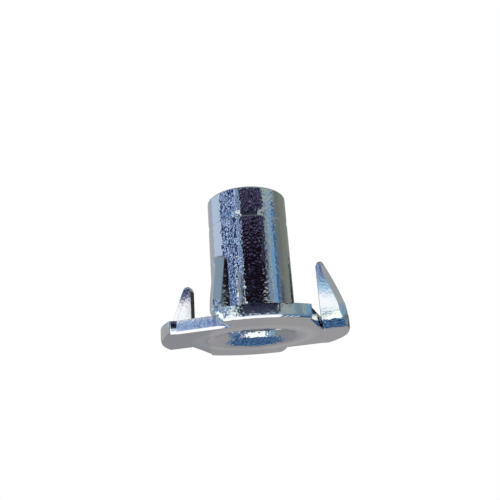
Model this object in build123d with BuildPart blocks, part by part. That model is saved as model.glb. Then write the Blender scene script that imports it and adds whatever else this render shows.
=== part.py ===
"""Pronged tee nut for wood, pressed from one disc of zinc-plated steel sheet.

The barrel is drawn up from the middle of the disc and tapped, and the rim of the
disc is lanced in four places so that each freed tongue folds up into a prong.
The underside of the flange lies on z = 0 and the barrel stands on the z axis.
Lengths are in millimetres.
"""

import os

from build123d import *

# Sheet and flange
sheet_thickness = 1.2
flange_diameter = 18.0
die_roll_height = 0.24
die_roll_width = 0.09
lobe_corner_radius = 0.3

# Drawn barrel, with a shallow ring groove below its end, steeper on its lower side
overall_height = 14.3
barrel_diameter = 8.0
end_radius = 0.2
draw_radius = 1.55
groove_height = 11.25
groove_upper_width = 0.6
groove_lower_width = 0.1
groove_depth = 0.07

# Bore for an M6 thread: plain lead-in at the flange, then the minor diameter
thread_minor_diameter = 5.0
lead_in_diameter = 6.2
lead_in_depth = 2.6
lead_in_taper = 0.7
end_chamfer = 0.45

# Lanced openings: a straight cut across the rim, a slot beside the fold, a run-out
prong_count = 4
run_out_depth = 0.57
run_out_direction = -65
slot_width = 0.1
cut_corner_radius = 0.1
overrun = 2.0

# Folded prongs, their height taken to the sharp point that the rounded tip is cut from
prong_width = 2.35
bend_radius = 0.2
prong_height = 6.85
tip_offset = 0.4
tip_slope_height = 1.0
tip_radius = 0.32
heel_radius = 3.0
heel_sweep = 17

flange_radius = flange_diameter / 2
barrel_radius = barrel_diameter / 2
bore_radius = thread_minor_diameter / 2
lead_in_radius = lead_in_diameter / 2
root_radius = draw_radius - sheet_thickness
prong_inner_distance = flange_radius - prong_width
cut_distance = prong_inner_distance - slot_width
outer_bend_radius = bend_radius + sheet_thickness
cut_length = ((flange_radius - run_out_depth) ** 2 - cut_distance**2) ** 0.5
cut_reach = flange_radius + overrun


def is_off_axes(edge):
    """True for an edge that stands clear of the fold lines on the x and y axes."""
    middle = edge.center()
    return min(abs(middle.X), abs(middle.Y)) > outer_bend_radius


# One tongue of the rim folded upright: an L section trimmed to the tongue's outline
with BuildPart() as prong:
    with BuildSketch(Plane.YZ.offset(prong_inner_distance)):
        with BuildLine():
            bend_centre = (0, outer_bend_radius)
            outer_bend = CenterArc(bend_centre, outer_bend_radius, 180, 90)
            inner_bend = CenterArc(bend_centre, bend_radius, 180, 90)
            Line(outer_bend @ 1, inner_bend @ 1)
            outer_face = Line(outer_bend @ 0, (-outer_bend_radius, prong_height))
            inner_face = Line(inner_bend @ 0, (-bend_radius, prong_height))
            Line(outer_face @ 1, inner_face @ 1)
        make_face()
    extrude(amount=prong_width)
    with BuildSketch(Plane.XZ) as tongue:
        with BuildLine():
            tip = (prong_inner_distance + tip_offset, prong_height)
            slope_start = (prong_inner_distance, prong_height - tip_slope_height)
            inner_edge = Polyline((prong_inner_distance, 0), slope_start, tip)
            outer_edge = Line((flange_radius, 0), (flange_radius, outer_bend_radius))
            heel = JernArc(outer_edge @ 1, outer_edge % 1, heel_radius, heel_sweep)
            TangentArc(heel @ 1, tip, tangent=heel % 1)
            Line(inner_edge @ 0, outer_edge @ 0)
        make_face()
        fillet(tongue.vertices().sort_by(Axis.Y)[-2:], tip_radius)
    extrude(amount=outer_bend_radius, mode=Mode.INTERSECT)

# One lanced opening in the rim, beside the fold on the x axis
with BuildSketch() as opening:
    with BuildLine():
        cut = Line((cut_distance, -cut_length), (cut_distance, 0))
        run_out = PolarLine(cut @ 0, overrun, run_out_direction)
        Polyline(cut @ 1, (cut_reach, 0), run_out @ 1)
    make_face()
    fillet(opening.vertices().sort_by_distance(cut @ 0)[0], cut_corner_radius)

with BuildPart() as tee_nut:
    # Disc and barrel as drawn
    with BuildSketch(Plane.XZ):
        with BuildLine():
            FilletPolyline(
                (lead_in_radius, 0),
                (flange_radius, 0),
                (flange_radius, sheet_thickness),
                (barrel_radius, sheet_thickness),
                (barrel_radius, overall_height),
                (bore_radius + end_chamfer, overall_height),
                (bore_radius, overall_height - end_chamfer),
                (bore_radius, lead_in_depth + lead_in_taper),
                (lead_in_radius, lead_in_depth),
                radius=[draw_radius, 0, 0, root_radius, end_radius, 0, 0, 0, 0],
                close=True,
            )
        make_face()
    revolve(axis=Axis.Z)

    # Ring groove
    with BuildSketch(Plane.XZ):
        with BuildLine():
            groove_bottom = (barrel_radius - groove_depth, groove_height)
            lower_edge = (barrel_radius, groove_height - groove_lower_width)
            upper_edge = (barrel_radius, groove_height + groove_upper_width)
            Polyline(lower_edge, groove_bottom, upper_edge, close=True)
        make_face()
    revolve(axis=Axis.Z, mode=Mode.SUBTRACT)

    # Lanced openings, and the rounded end of each lobe of the rim
    with BuildSketch():
        with PolarLocations(0, prong_count):
            add(opening.sketch)
    extrude(amount=sheet_thickness, mode=Mode.SUBTRACT)
    corner_edges = tee_nut.edges().filter_by(Axis.Z).filter_by(is_off_axes)
    fillet(corner_edges.sort_by_distance((0, 0))[-prong_count:], lobe_corner_radius)

    # Prongs on their fold lines
    with PolarLocations(0, prong_count):
        add(prong.part)

    # Die roll round the sheared edge of the underside, from the lobes up over the prongs
    underside = tee_nut.faces().sort_by(Axis.Z)[0]
    underside_arcs = underside.edges().filter_by(GeomType.CIRCLE)
    lobe_arcs = underside_arcs.filter_by(lambda arc: arc.radius > cut_distance)
    chamfer(lobe_arcs, die_roll_width, die_roll_height, reference=underside)

tee_nut.part.label = "tee_nut"

os.makedirs("parts", exist_ok=True)
export_step(tee_nut.part, "parts/tee_nut.step")
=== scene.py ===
"""The pronged tee nut as it is seen in the photograph: bright zinc plate on pressed steel."""

import math

import bmesh
import bpy
from mathutils import Matrix, Vector


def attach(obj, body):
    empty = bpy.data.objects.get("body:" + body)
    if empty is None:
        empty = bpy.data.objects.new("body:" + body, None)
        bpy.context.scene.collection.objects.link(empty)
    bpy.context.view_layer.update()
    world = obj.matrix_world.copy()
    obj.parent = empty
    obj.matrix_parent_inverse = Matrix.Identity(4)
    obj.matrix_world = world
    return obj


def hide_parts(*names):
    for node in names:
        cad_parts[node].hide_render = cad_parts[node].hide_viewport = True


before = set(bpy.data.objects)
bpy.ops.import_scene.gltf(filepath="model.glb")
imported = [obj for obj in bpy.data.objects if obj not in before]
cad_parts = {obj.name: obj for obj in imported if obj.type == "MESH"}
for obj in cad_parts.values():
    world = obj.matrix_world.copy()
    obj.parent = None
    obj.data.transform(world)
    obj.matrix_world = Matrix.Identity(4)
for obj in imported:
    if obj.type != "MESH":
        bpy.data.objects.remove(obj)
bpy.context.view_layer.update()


# The blank: one disc of steel sheet with its barrel drawn up from the middle and four tongues of
# its rim lanced free and folded up into prongs. Coining has flattened the outer edges of the
# prongs, and tumbling has worn every sharp edge and rounded the tips.
MM = 0.001
weld_distance = 0.0005 * MM
slack = 0.01 * MM
flat_angle = math.radians(0.3)
sharp_angle = math.radians(50)
fold_radius = 1.4 * MM
lance_distance = 6.55 * MM
lance_length = 6 * MM
roll_width = 0.09 * MM
roll_height = 0.24 * MM
roll_end_share = 0.1
coin_start = 7.25 * MM
coin_top = 6.3 * MM
coin_fade = 1.2 * MM
coin_width = 0.45 * MM
coin_depth = 0.25 * MM
prong_inner_face = 0.2 * MM
prong_inner_distance = 6.65 * MM
prong_middle = 0.8 * MM
prong_foot = 1.5 * MM
face_wear = 0.32 * MM
edge_wear = 0.03 * MM
bore_reach = 3.3 * MM
tip_foot = 6.0 * MM
tip_cuts = (tip_foot, 6.1 * MM, 6.18 * MM, 6.26 * MM, 6.33 * MM)
tip_share = 0.5

blank = bmesh.new()
blank.from_mesh(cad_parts["tee_nut"].data)
bmesh.ops.remove_doubles(blank, verts=blank.verts, dist=weld_distance)
bmesh.ops.dissolve_limit(blank, angle_limit=flat_angle, verts=blank.verts, edges=blank.edges)


def quarter_turn(point):
    """The turn that takes the prong on the x axis to the one that the point is nearest to."""
    quarter = round(math.atan2(point.y, point.x) / (math.pi / 2))
    return Matrix.Rotation(quarter * math.pi / 2, 3, "Z")


def split(faces, point, normal):
    """Cuts those faces of the blank along the plane through that point."""
    cut = [part for face in faces for part in (face, *face.edges, *face.verts)]
    bmesh.ops.bisect_plane(
        blank,
        geom=list(dict.fromkeys(cut)),
        dist=weld_distance,
        plane_co=point,
        plane_no=normal,
    )


# The die roll fades out where a lance meets the fold
for quarter in range(4):
    turn = Matrix.Rotation(quarter * math.pi / 2, 3, "Z")
    roll_faces = []
    for face in blank.faces:
        centre = turn.transposed() @ face.calc_center_median()
        is_along_lance = -lance_length < centre.y < 0
        is_beside_lance = is_along_lance and 0 < lance_distance - centre.x < roll_width
        if is_beside_lance and 0 < centre.z < roll_height:
            roll_faces.append(face)
    split(roll_faces, turn @ Vector((0, -fold_radius, 0)), turn @ Vector((0, 1, 0)))
for corner in blank.verts:
    turn = quarter_turn(corner.co)
    place = turn.transposed() @ corner.co
    is_beside_lance = -slack < lance_distance - place.x < roll_width + slack
    if is_beside_lance and abs(place.y) < slack and place.z < roll_height + slack:
        place.x += (1 - roll_end_share) * (lance_distance - place.x)
        place.z *= roll_end_share
        corner.co = turn @ place

# Coined edges: the die roll up the outer edge of each prong is widened to a flat
for corner in blank.verts:
    turn = quarter_turn(corner.co)
    place = turn.transposed() @ corner.co
    reach = math.hypot(place.y, min(place.z - fold_radius, 0))
    share = min(place.z / fold_radius, (coin_top - place.z) / coin_fade, 1)
    if place.x < coin_start or place.y > 0 or share <= 0:
        continue
    if abs(reach - fold_radius) < slack:
        place.x -= coin_width * share
    elif abs(reach - fold_radius + roll_height) < slack:
        squeeze = 1 - coin_depth * share / reach
        place.y *= squeeze
        place.z += (1 - squeeze) * max(fold_radius - place.z, 0)
    corner.co = turn @ place


def is_on_inner_face(point):
    """True for a point on the face of a prong that looks along the rim at its lobe."""
    across, along = sorted((abs(point.x), abs(point.y)))
    is_level = abs(across - prong_inner_face) < slack / 2
    return is_level and along > lance_distance and point.z > prong_foot


def is_outside_bore(point):
    """True for a point that the tap doesn't reach."""
    return point.xy.length > bore_reach


def wear(reaches, offset, segments):
    """Rounds the sharp edges of the blank that have both ends within reach."""
    worn = [
        edge
        for edge in blank.edges
        if edge.is_manifold
        and edge.calc_face_angle() > sharp_angle
        and all(reaches(end.co) for end in edge.verts)
    ]
    bmesh.ops.bevel(
        blank,
        geom=worn,
        offset=offset,
        offset_type="OFFSET",
        segments=segments,
        profile=0.5,
        affect="EDGES",
        clamp_overlap=True,
        material=-1,
    )


wear(is_on_inner_face, face_wear, 5)
wear(is_outside_bore, edge_wear, 2)

# Rounded tips: the prongs thin out towards their tops
for height in tip_cuts:
    prong_faces = []
    for face in blank.faces:
        centre = face.calc_center_median()
        if centre.xy.length > prong_inner_distance and centre.z > prong_foot:
            prong_faces.append(face)
    split(prong_faces, (0, 0, height), (0, 0, 1))
prong_corners = [corner for corner in blank.verts if corner.co.xy.length > prong_inner_distance]
prong_top = max(corner.co.z for corner in prong_corners)
for corner in prong_corners:
    if corner.co.z > tip_foot:
        turn = quarter_turn(corner.co)
        place = turn.transposed() @ corner.co
        rise = (corner.co.z - tip_foot) / (prong_top - tip_foot)
        share = math.sqrt(1 - (1 - tip_share**2) * rise**2)
        place.y = -prong_middle + (place.y + prong_middle) * share
        corner.co = turn @ place


def link_mesh(name, shape):
    """Puts a finished bmesh in the scene as an object of that name."""
    mesh = bpy.data.meshes.new(name)
    shape.to_mesh(mesh)
    shape.free()
    made = bpy.data.objects.new(name, mesh)
    bpy.context.scene.collection.objects.link(made)
    return made


nut = link_mesh("tee_nut_plated", blank)


# The thread: M6 with a pitch of 1 mm, tapped into the barrel from end to end. It cuts through
# the chamfer at the open end and runs out in the taper above the lead-in.
thread_pitch = 1.0 * MM
thread_root_radius = 3.0 * MM
thread_root_width = thread_pitch / 8
thread_cut_radius = 2.3 * MM
thread_flank_slope = math.tan(math.radians(30))
thread_bottom = 2.2 * MM
thread_turns = 13
steps_per_turn = 48

cut_depth = thread_root_radius - thread_cut_radius
cut_half_width = thread_root_width / 2 + cut_depth * thread_flank_slope
tap = bmesh.new()
tooth = [
    tap.verts.new((thread_cut_radius, 0, thread_bottom - cut_half_width)),
    tap.verts.new((thread_root_radius, 0, thread_bottom - thread_root_width / 2)),
    tap.verts.new((thread_root_radius, 0, thread_bottom + thread_root_width / 2)),
    tap.verts.new((thread_cut_radius, 0, thread_bottom + cut_half_width)),
]
tooth_face = tap.faces.new(tooth)
bmesh.ops.spin(
    tap,
    geom=[*tooth, *tooth_face.edges, tooth_face],
    cent=(0, 0, 0),
    axis=(0, 0, 1),
    dvec=(0, 0, thread_pitch / steps_per_turn),
    angle=thread_turns * math.tau,
    steps=thread_turns * steps_per_turn,
)
bmesh.ops.recalc_face_normals(tap, faces=tap.faces)
tap_object = link_mesh("tap", tap)
tapping = nut.modifiers.new("tapping", "BOOLEAN")
tapping.object = tap_object
tapping.operation = "DIFFERENCE"
tapping.solver = "EXACT"
tapped = bpy.data.meshes.new_from_object(nut.evaluated_get(bpy.context.evaluated_depsgraph_get()))
nut.modifiers.clear()
nut.data = tapped
bpy.data.objects.remove(tap_object)


# The plating: bright zinc with a fine grain, clouded faintly pink and green, and with a painted
# highlight, a paler ring round the mouth of the barrel. Drawing and folding have roughened the
# grain, and the sheared walls of the sheet show through it with torn streaks.
sheet_thickness = 1.2 * MM
barrel_foot_radius = 4.6 * MM
draw_radius = 1.55 * MM
funnel_radius = 4.65 * MM
bend_width = 1.45 * MM
tip_start = 3 * sheet_thickness
groove_heights = (11.1 * MM, 11.9 * MM)
groove_reach = 3.9 * MM
level_slack = 0.001 * MM
prong_face_area = 1 * MM * MM
crease_angle = math.radians(35)
facing_share = 0.5
upright_share = 0.3
level_share = 0.999

marks = {"sheared": [], "stretched": []}
prong_face_edges = set()
for face in tapped.polygons:
    across, along = sorted((abs(face.center.x), abs(face.center.y)))
    reach = face.center.xy.length
    is_bend = False
    if across < bend_width and along > lance_distance and face.center.z > 0:
        outward = face.normal.x if abs(face.center.x) > abs(face.center.y) else face.normal.y
        is_tip = face.center.z > tip_start and face.normal.z > facing_share
        is_wall = abs(outward) > facing_share or is_tip
        is_bend = face.center.z < fold_radius
    else:
        is_wall = 0 < face.center.z < sheet_thickness and abs(face.normal.z) < upright_share
        is_wall = is_wall and reach > barrel_foot_radius
    is_drawn = reach < funnel_radius and abs(face.normal.z) < level_share
    is_funnel = is_drawn and face.center.z < draw_radius
    marks["sheared"].append(float(is_wall))
    marks["stretched"].append(1.0 if is_funnel else 0.5 if is_drawn or is_bend else 0.0)
    is_on_prong = along > prong_inner_distance and face.center.z > prong_foot
    if is_on_prong and not is_wall and face.area > prong_face_area:
        prong_face_edges.update(face.edge_keys)
for name, values in marks.items():
    tapped.attributes.new(name, "FLOAT", "FACE").data.foreach_set("value", values)

tapped.shade_smooth()
tapped.set_sharp_from_angle(angle=crease_angle)
for edge in tapped.edges:
    low, high = sorted((tapped.vertices[end].co for end in edge.vertices), key=lambda end: end.z)
    is_level = high.z - low.z < level_slack
    is_in_groove = is_level and groove_heights[0] < low.z < groove_heights[1]
    is_groove_edge = is_in_groove and low.xy.length > groove_reach
    is_prong_edge = edge.key in prong_face_edges and not is_level
    if is_groove_edge or is_prong_edge:
        edge.use_edge_sharp = True
weighting = nut.modifiers.new("flat faces stay flat", "WEIGHTED_NORMAL")
weighting.keep_sharp = True


class Value:
    """A socket in a node tree. Sums, differences and products of these add Math nodes."""

    def __init__(self, tree, socket=None):
        self.tree = tree
        self.socket = socket

    def node(self, kind, output, settings, inputs):
        """Adds a node, sets it up, fills or links its inputs and returns one of its outputs."""
        made = self.tree.nodes.new(kind)
        for name, setting in settings.items():
            setattr(made, name, setting)
        for name, given in inputs.items():
            if isinstance(given, Value):
                self.tree.links.new(given.socket, made.inputs[name])
            else:
                made.inputs[name].default_value = given
        return Value(self.tree, made.outputs[output] if made.outputs else None)

    def math(self, operation, first, second):
        return self.node("ShaderNodeMath", 0, {"operation": operation}, {0: first, 1: second})

    def __add__(self, other):
        return self.math("ADD", self, other)

    def __sub__(self, other):
        return self.math("SUBTRACT", self, other)

    def __rsub__(self, other):
        return self.math("SUBTRACT", other, self)

    def __mul__(self, other):
        return self.math("MULTIPLY", self, other)

    __radd__ = __add__
    __rmul__ = __mul__


def new_material(name):
    """A material with an empty node tree, and the tree ready for nodes."""
    made = bpy.data.materials.new(name)
    made.use_nodes = True
    made.node_tree.nodes.clear()
    return made, Value(made.node_tree)


pink_zinc = (0.79, 0.74, 0.79, 1)
green_zinc = (0.73, 0.78, 0.73, 1)
# A painted highlight: a paler ring round the mouth of the barrel, where the underside curves up
# into it.
painted_highlight_colour = (0.93, 0.98, 0.94, 1)
highlight_ring_inside = (4.7 * MM, 5.1 * MM)
highlight_ring_outside = (5.4 * MM, 6.2 * MM)
highlight_ring_share = 0.9
flat_grain = 0.06
drawn_grain = 1.74
draw_line_height = 0.15
tear_height = 0.75
relief_depth = 0.02 * MM

zinc, zinc_nodes = new_material("zinc_plate")
position = zinc_nodes.node("ShaderNodeTexCoord", "Object", {}, {})


def noise(size, detail, stretch=(1, 1, 1)):
    """Soft noise from 0 to 1, with features of about that size, drawn out by the stretch."""
    spread = tuple(1 / (size * share) for share in stretch)
    spacing = {"Vector": position, "Scale": spread}
    vector = zinc_nodes.node("ShaderNodeMapping", "Vector", {}, spacing)
    inputs = {"Vector": vector, "Scale": 1.0, "Detail": detail, "Roughness": 0.55}
    return zinc_nodes.node("ShaderNodeTexNoise", "Fac", {}, inputs)


def mix(factor, first, second):
    """A colour of the zinc between the first and the second."""
    inputs = {"Factor": factor, "A": first, "B": second}
    return zinc_nodes.node("ShaderNodeMix", "Result", {"data_type": "RGBA"}, inputs)


def ramp(value, start, end):
    """A slope that rises from 0 to 1 as the value goes from the start to the end."""
    inputs = {"Value": value, "From Min": start, "From Max": end}
    return zinc_nodes.node("ShaderNodeMapRange", "Result", {}, inputs)


wall = zinc_nodes.node("ShaderNodeAttribute", "Fac", {"attribute_name": "sheared"}, {})
drawn = zinc_nodes.node("ShaderNodeAttribute", "Fac", {"attribute_name": "stretched"}, {})
cloud = noise(2.6 * MM, 2)
haze = noise(0.9 * MM, 3)
grain = noise(0.24 * MM, 0)
draw_lines = noise(0.12 * MM, 1, (1, 1, 40))
tears = noise(0.35 * MM, 2, (1, 1, 1.4))

flattened = {0: position, 1: (1, 1, 0)}
spoke = zinc_nodes.node("ShaderNodeVectorMath", "Vector", {"operation": "MULTIPLY"}, flattened)
axis_reach = zinc_nodes.node("ShaderNodeVectorMath", "Value", {"operation": "LENGTH"}, {0: spoke})
# The painted highlight, a paler ring round the mouth of the barrel, is mixed into the zinc's
# colour here.
painted_highlight_ring = ramp(axis_reach, highlight_ring_outside[1], highlight_ring_outside[0]) * ramp(axis_reach, *highlight_ring_inside)
colour = mix(highlight_ring_share * painted_highlight_ring, mix(3 * cloud - 1, pink_zinc, green_zinc), painted_highlight_colour)

height = grain * (flat_grain + drawn_grain * drawn)
height = height + draw_line_height * drawn * draw_lines + tear_height * wall * tears
bumps = {"Strength": 1.0, "Distance": relief_depth, "Height": height}
finish = {
    "Base Color": colour,
    "Metallic": 1.0,
    "Roughness": 0.05 + 0.05 * haze + 0.04 * wall,
    "Normal": zinc_nodes.node("ShaderNodeBump", "Normal", {}, bumps),
}
plate = zinc_nodes.node("ShaderNodeBsdfPrincipled", "BSDF", {}, finish)
zinc_nodes.node("ShaderNodeOutputMaterial", 0, {}, {"Surface": plate})
tapped.materials.clear()
tapped.materials.append(zinc)
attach(nut, "root")
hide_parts("tee_nut")


# The floor that the nut stands on: pale paper that fades out round it. It shows from above only,
# so that from below the underside of the flange is open to view and to the light.
floor_half_width = 0.6
floor_fade = (0.025, 0.12)
paper_colour = (0.84, 0.84, 0.84, 1)

floor_shape = bmesh.new()
bmesh.ops.create_grid(floor_shape, x_segments=1, y_segments=1, size=floor_half_width)
floor = link_mesh("floor", floor_shape)
paper, paper_nodes = new_material("floor_paper")
camera_ray = paper_nodes.node("ShaderNodeLightPath", "Is Camera Ray", {}, {})
from_below = paper_nodes.node("ShaderNodeNewGeometry", "Backfacing", {}, {})
spot = paper_nodes.node("ShaderNodeTexCoord", "Object", {}, {})
spot_reach = paper_nodes.node("ShaderNodeVectorMath", "Value", {"operation": "LENGTH"}, {0: spot})
nearness = paper_nodes.node(
    "ShaderNodeMapRange",
    "Result",
    {"interpolation_type": "SMOOTHSTEP"},
    {"Value": spot_reach, "From Min": floor_fade[1], "From Max": floor_fade[0]},
)
layers = {
    0: camera_ray * (1 - from_below) * nearness,
    1: paper_nodes.node("ShaderNodeBsdfTransparent", "BSDF", {}, {}),
    2: paper_nodes.node("ShaderNodeBsdfDiffuse", "BSDF", {}, {"Color": paper_colour}),
}
surface = paper_nodes.node("ShaderNodeMixShader", "Shader", {}, layers)
paper_nodes.node("ShaderNodeOutputMaterial", 0, {}, {"Surface": surface})
floor.data.materials.append(paper)


# The photograph was taken from below the flange, close up. These give its viewpoint, measured
# from the nut's axis and the plane of its underside.
camera_turn = math.radians(16)
camera_distance = 55.21 * MM
camera_height = -10.55 * MM
camera_aim = math.radians(15.94)
camera_pitch = math.radians(19.56)
camera_roll = math.radians(-4.14)
focal_share = 580 / 500

camera_data = bpy.data.cameras.new("camera")
camera_data.lens = camera_data.sensor_width * focal_share
camera_data.clip_start = MM
camera = bpy.data.objects.new("camera", camera_data)
bpy.context.scene.collection.objects.link(camera)
camera.matrix_world = (
    Matrix.Rotation(camera_turn, 4, "Z")
    @ Matrix.Translation((0, -camera_distance, camera_height))
    @ Matrix.Rotation(camera_aim - camera_turn, 4, "Z")
    @ Matrix.Rotation(math.pi / 2 + camera_pitch, 4, "X")
    @ Matrix.Rotation(camera_roll, 4, "Z")
)
bpy.context.scene.camera = camera


# The light tent: panels all round the nut that show only in its reflections. Angles are in
# degrees, with azimuths counted from the camera towards its right.
tent_radius = 0.5
panel_step = 10
left_edge = -82
near_edge = -31
front_edge = -20
right_edge = 48
back_edge = 90
low_edge = -45
high_edge = 33.4
top_edge = 62
white = (1.3, 1.32, 1.35)
shade = (0.02, 0.035, 0.13)
gleam = (0.55, 0.75, 1.1)
navy = (0.03, 0.06, 0.20)
floor_blue = (0.05, 0.12, 0.25)
pale_grey = (0.40, 0.45, 0.45)


def panel(name, azimuths, elevations, colour):
    """One panel of the tent, spanning those angles, that glows evenly in that colour."""
    shape = bmesh.new()
    low, high = (math.radians(angle) for angle in elevations)
    first, last = (math.radians(angle) for angle in azimuths)
    side = Matrix.Rotation(first + camera_turn, 3, "Z")
    foot = shape.verts.new(side @ Vector((0, -math.cos(low), math.sin(low))) * tent_radius)
    bmesh.ops.spin(
        shape,
        geom=[foot],
        cent=(0, 0, 0),
        axis=side @ Vector((-1, 0, 0)),
        angle=high - low,
        steps=max(1, round(math.degrees(high - low) / panel_step)),
    )
    bmesh.ops.spin(
        shape,
        geom=[*shape.verts, *shape.edges],
        cent=(0, 0, 0),
        axis=(0, 0, 1),
        angle=last - first,
        steps=max(1, round(math.degrees(last - first) / panel_step)),
    )
    made = link_mesh("panel_" + name, shape)
    made.visible_camera = False
    made.visible_diffuse = False
    made.visible_shadow = False
    glow, glow_nodes = new_material("panel_" + name)
    light = glow_nodes.node("ShaderNodeEmission", "Emission", {}, {"Color": (*colour, 1)})
    glow_nodes.node("ShaderNodeOutputMaterial", 0, {}, {"Surface": light})
    made.data.materials.append(glow)


def stripes(count, start, elevations, *kinds):
    """Panels side by side, from the start to the right: each kind in turn, that many times."""
    for stripe in range(count):
        for name, width, colour in kinds:
            panel(f"{name}_{stripe}", (start, start + width), elevations, colour)
            start += width


panel("back_left_far", (-180, -122), (12, high_edge), (0.43, 0.465, 0.51))
panel("back_left", (-122, left_edge), (12, high_edge), (0.54, 0.68, 0.86))
panel("back_left_low", (-180, left_edge), (-4, 12), (0.42, 0.43, 0.44))
left_high = [("left_shade", 6.7, shade), ("left_gleam", 3.5, gleam)]
left_mid = [("left_pale", 5, (0.36, 0.54, 0.82)), ("left_blue", 5.2, (0.06, 0.12, 0.34))]
left_low = [("left_low_blue", 5, (0.08, 0.15, 0.30)), ("left_low_pale", 4.25, (0.55, 0.75, 0.95))]
stripes(5, left_edge, (16, high_edge), *left_high)
stripes(5, left_edge, (4, 12.5), *left_mid)
stripes(4, left_edge, (low_edge, 4), *left_low)
panel("left_dusk", (left_edge, -44), (12.5, 16), (0.10, 0.16, 0.33))
panel("left_white", (-44, -38.9), (12.5, 15.6), white)
panel("left_shadow", (-44, -38.9), (15.6, 16), navy)
panel("left_pearl", (-38.9, near_edge), (12.5, 13.5), (0.95, 1.1, 1.2))
panel("left_dark", (-38.9, near_edge), (13.5, 16), navy)
panel("left_floor", (-45, near_edge), (low_edge, 4), white)
stripes(5, near_edge, (16.2, high_edge), ("near_shade", 1.4, shade), ("near_gleam", 0.8, gleam))
panel("near_cyan", (near_edge, front_edge), (14.8, 16.2), (0.36, 0.70, 0.95))
panel("near_white", (-27, front_edge), (12.6, 14.8), white)
panel("near_blue", (-27, front_edge), (9.5, 12.6), (0.45, 0.60, 0.85))
panel("near_low", (-27, front_edge), (low_edge, 9.5), white)
panel("near_pale", (near_edge, -27), (4, 14.8), (0.50, 0.65, 0.85))
panel("near_floor", (near_edge, -27), (low_edge, 4), white)
front_high = [("front_shade", 5.8, (0.02, 0.015, 0.035)), ("front_gleam", 2.7, (0.13, 0.12, 0.25))]
stripes(8, front_edge, (22, high_edge), *front_high)
panel("front_black", (front_edge, 38), (13.5, 22), (0.008, 0.004, 0.010))
panel("front_grey", (38, right_edge), (13.5, 22), (0.055, 0.055, 0.085))
panel("front_dark", (front_edge, 30), (4, 13.5), (0.03, 0.035, 0.07))
panel("front_dusk", (30, right_edge), (4, 13.5), (0.36, 0.44, 0.46))
panel("front_low", (front_edge, 32), (-8, 4), (0.6, 0.75, 0.95))
panel("front_floor", (front_edge, 32), (low_edge, -8), white)
panel("right_pale", (right_edge, 58.5), (4, 26), (0.21, 0.30, 0.40))
panel("right_line", (58.5, 63), (4, 26), pale_grey)
panel("right_blue", (63, 68), (4, 26), (0.18, 0.36, 0.57))
panel("right_sky", (68, 75), (4, 26), (0.19, 0.40, 0.66))
panel("right_dark", (75, 83), (4, 26), (0.07, 0.15, 0.27))
panel("right_dusk", (83, back_edge), (4, 26), (0.15, 0.21, 0.25))
panel("right_high", (right_edge, back_edge), (26, high_edge), pale_grey)
panel("right_low", (32, back_edge), (-20, 4), (0.15, 0.26, 0.45))
right_floor = [("right_floor_pale", 3, (0.9, 0.95, 1.0)), ("right_floor_blue", 4, floor_blue)]
stripes(4, 32, (low_edge, -20), *right_floor)
panel("right_floor_far", (60, back_edge), (low_edge, -20), floor_blue)
panel("back_right", (back_edge, 108), (-4, high_edge), (0.17, 0.20, 0.19))
panel("back_right_mid", (108, 136), (-4, high_edge), (0.215, 0.24, 0.215))
panel("back_right_high", (136, 156), (18.5, high_edge), (0.25, 0.27, 0.24))
panel("back_right_dark", (136, 156), (-4, 18.5), (0.035, 0.04, 0.045))
panel("back", (156, 180), (-4, high_edge), (0.30, 0.33, 0.34))
panel("back_low_right", (back_edge, 110), (low_edge, -4), (0.18, 0.26, 0.38))
panel("back_low", (110, 179), (low_edge, -4), (0.365, 0.355, 0.37))
panel("back_low_mid", (179, 185), (low_edge, -4), (0.345, 0.34, 0.36))
panel("back_low_left", (185, 360 + left_edge), (low_edge, -4), (0.285, 0.29, 0.315))
for ring_number in range(4):
    bottom = -90 + ring_number * 11.25
    middle = bottom + 8
    top = bottom + 11.25
    panel(f"below_blue_{ring_number}", (0, 360), (bottom, middle), (0.02, 0.07, 0.20))
    panel(f"below_pale_{ring_number}", (0, 360), (middle, top), (0.18, 0.32, 0.52))
panel("upper_left", (-90, 20), (high_edge, top_edge), (0.26, 0.37, 0.47))
panel("upper", (20, 270), (high_edge, top_edge), (0.38, 0.42, 0.43))
panel("above", (0, 360), (top_edge, 90), (0.20, 0.23, 0.24))


# The room: white to the camera and in reflections, and half as bright for what it lights. A soft
# lamp overhead, which doesn't show in the plating, lights the floor and gives the nut its shadow.
lamp_data = bpy.data.lights.new("overhead", "AREA")
lamp_data.size = 0.3
lamp_data.energy = 3.0
lamp = bpy.data.objects.new("overhead", lamp_data)
lamp.location = (-0.15, -0.1, 0.45)
lamp.rotation_euler = lamp.location.to_track_quat("Z", "Y").to_euler()
lamp.visible_glossy = False
bpy.context.scene.collection.objects.link(lamp)

world = bpy.data.worlds.new("white_room")
bpy.context.scene.world = world
world.use_nodes = True
world.node_tree.nodes.clear()
room_nodes = Value(world.node_tree)
shown = room_nodes.node("ShaderNodeLightPath", "Is Camera Ray", {}, {})
for ray in ("Is Glossy Ray", "Is Transmission Ray"):
    shown = shown + room_nodes.node("ShaderNodeLightPath", ray, {}, {})
room_light = {"Color": (1, 1, 1, 1), "Strength": 0.5 + 0.5 * shown}
room = room_nodes.node("ShaderNodeBackground", "Background", {}, room_light)
room_nodes.node("ShaderNodeOutputWorld", 0, {}, {"Surface": room})

bpy.context.scene.view_settings.view_transform = "Standard"
